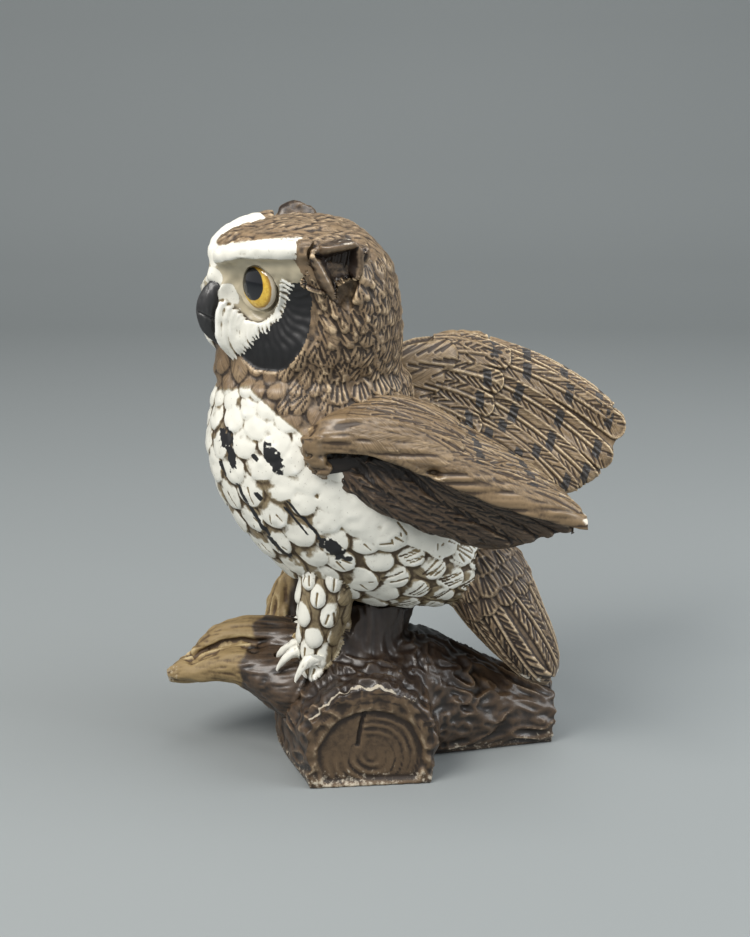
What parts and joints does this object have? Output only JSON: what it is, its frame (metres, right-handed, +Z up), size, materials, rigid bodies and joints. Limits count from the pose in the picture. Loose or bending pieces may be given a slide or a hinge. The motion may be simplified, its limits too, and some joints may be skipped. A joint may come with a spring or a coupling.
{
  "type": "owl figurine",
  "caption": "Free-standing hollow ceramic owl with half-raised wings and a turned head, perched on a log base with a sawn end and a torn branch.",
  "frame": {"origin": "on the log's flat resting face, under the crossing of the sawn stub and the owl's mid-plane", "axes": "+Z up, the breast faces -Y, the owl's left wing and the log's sawn end are at +X"},
  "size_m": [0.098, 0.1742, 0.199],
  "materials": {
    "torso": "satin cold-painted bisque, cream white with an olive-brown wash in the recesses and black dabs",
    "head": "satin cold-painted bisque, grey-brown with cream brows and face and black face patches",
    "beak": "satin black paint",
    "log": "glossy very dark brown glaze-like finish, worn to cream on the edges",
    "branch": "satin ochre with dark patches",
    "tail": "satin dark brown with worn pale tips",
    "left_wing": "satin grey-brown with pale worn ridges and black bars",
    "left_wing_lining": "satin dark brown",
    "right_wing": "satin grey-brown with pale worn ridges and black bars",
    "left_eye": "gloss yellow iris with a large black pupil",
    "right_eye": "gloss yellow iris with a large black pupil",
    "left_ear_tuft": "satin brown",
    "right_ear_tuft": "satin brown",
    "left_leg": "satin cream white feathers, tan behind",
    "right_leg": "satin cream white feathers, tan behind",
    "left_toes": "satin cream white",
    "right_toes": "satin cream white"
  },
  "bodies": {
    "root": {"torso_shell": "torso", "head_shell": "head", "beak": "beak", "log_base": "log", "torn_branch": "branch", "tail": "tail", "left_wing": "left_wing", "left_wing_lining": "left_wing_lining", "right_wing": "right_wing", "left_eye": "left_eye", "right_eye": "right_eye", "left_ear_tuft": "left_ear_tuft", "right_ear_tuft": "right_ear_tuft", "left_leg": "left_leg", "right_leg": "right_leg", "left_toes": "left_toes", "right_toes": "right_toes"}
  },
  "joints": []
}
